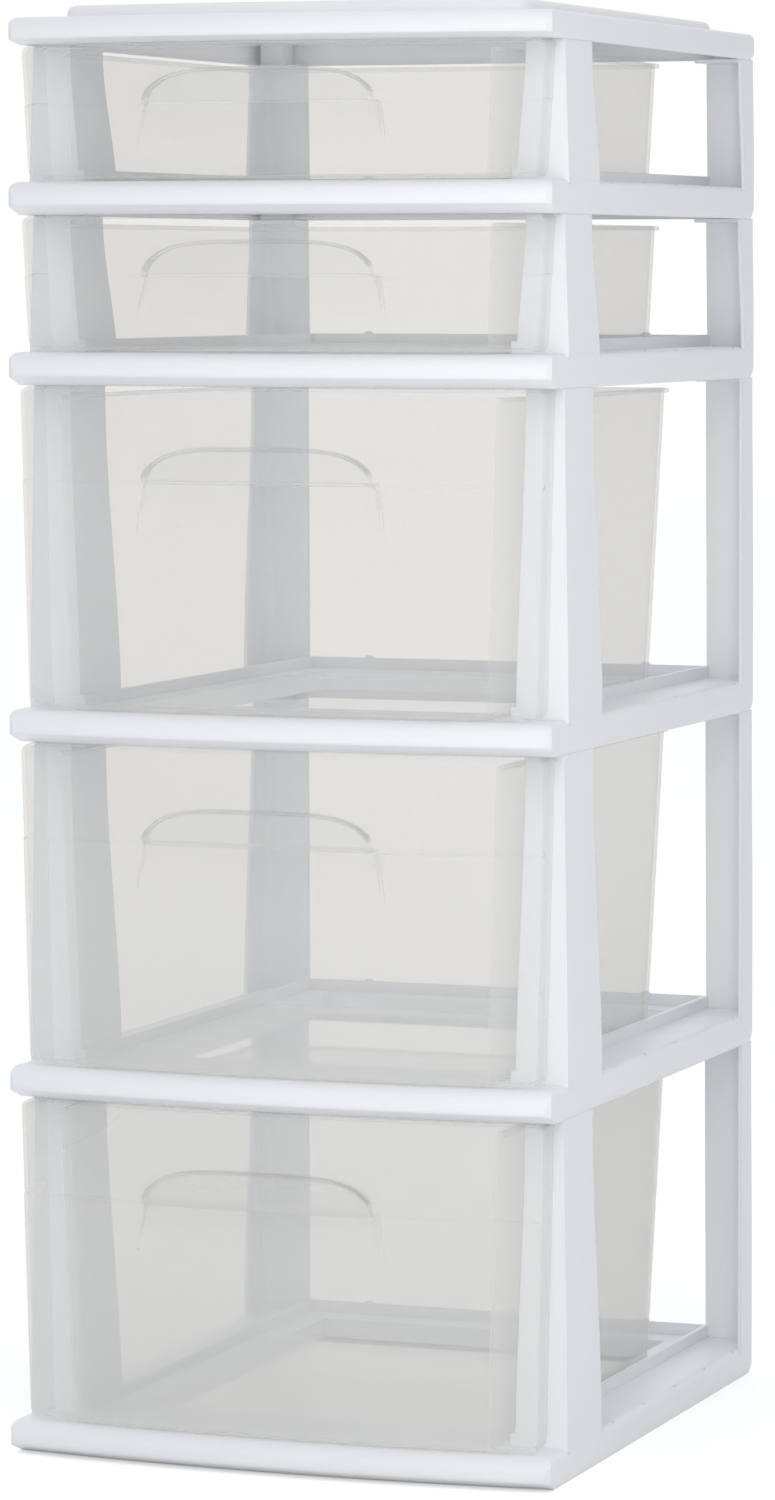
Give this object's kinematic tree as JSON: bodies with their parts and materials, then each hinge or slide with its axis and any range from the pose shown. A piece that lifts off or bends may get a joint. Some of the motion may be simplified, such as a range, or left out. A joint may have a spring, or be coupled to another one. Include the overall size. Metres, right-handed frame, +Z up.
{
  "type": "plastic drawer tower",
  "caption": "Tall free-standing tower of stacked white plastic frames under a flat lid, with clear pull-out drawers that have bowed fronts and hooded finger pulls.",
  "frame": {"origin": "middle of the footprint, on the surface that the tower stands on", "axes": "+Z up, -Y out of the drawer fronts, +X to the right when the fronts are faced"},
  "size_m": [0.315, 0.392, 0.7985],
  "materials": {
    "white_plastic": "white injection-moulded plastic with a fine satin skin",
    "clear_plastic": "translucent natural plastic, slightly frosted, glossy on its moulded edges"
  },
  "bodies": {
    "tower": {"lid": "white_plastic", "small_frame_1": "white_plastic", "small_frame_2": "white_plastic", "large_frame_1": "white_plastic", "large_frame_2": "white_plastic", "large_frame_3": "white_plastic"},
    "small_drawer_1": {"small_drawer_1": "clear_plastic"},
    "small_drawer_2": {"small_drawer_2": "clear_plastic"},
    "large_drawer_1": {"large_drawer_1": "clear_plastic"},
    "large_drawer_2": {"large_drawer_2": "clear_plastic"},
    "large_drawer_3": {"large_drawer_3": "clear_plastic"}
  },
  "joints": [
    {"name": "small_drawer_1_slide", "type": "slide", "parent": "tower", "child": "small_drawer_1", "axis": [0, -1, 0], "range_m": [0, 0.24]},
    {"name": "small_drawer_2_slide", "type": "slide", "parent": "tower", "child": "small_drawer_2", "axis": [0, -1, 0], "range_m": [0, 0.24]},
    {"name": "large_drawer_1_slide", "type": "slide", "parent": "tower", "child": "large_drawer_1", "axis": [0, -1, 0], "range_m": [0, 0.24]},
    {"name": "large_drawer_2_slide", "type": "slide", "parent": "tower", "child": "large_drawer_2", "axis": [0, -1, 0], "range_m": [0, 0.24]},
    {"name": "large_drawer_3_slide", "type": "slide", "parent": "tower", "child": "large_drawer_3", "axis": [0, -1, 0], "range_m": [0, 0.24]}
  ]
}
